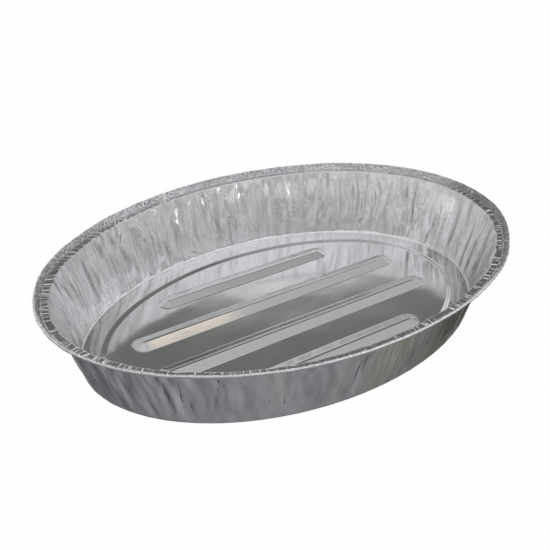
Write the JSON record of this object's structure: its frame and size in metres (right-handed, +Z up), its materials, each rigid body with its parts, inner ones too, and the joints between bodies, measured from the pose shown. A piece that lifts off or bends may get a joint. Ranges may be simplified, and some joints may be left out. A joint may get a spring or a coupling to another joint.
{
  "type": "foil roasting pan",
  "caption": "Oval roasting pan of aluminium foil with a gathered flared wall, a flat ledge with a rolled edge, and long raised ribs in the floor.",
  "frame": {"origin": "on the table under the middle of the pan", "axes": "+X along the long axis of the oval, +Y along the short axis, +Z up"},
  "size_m": [0.457, 0.328, 0.072],
  "materials": {
    "foil": "bright crinkled foil: near mirror on the pressed floor, broken by pleats and fine wrinkles on the wall, ledge and rolled edge"
  },
  "bodies": {
    "root": {"foil_pan": "foil"}
  },
  "joints": []
}
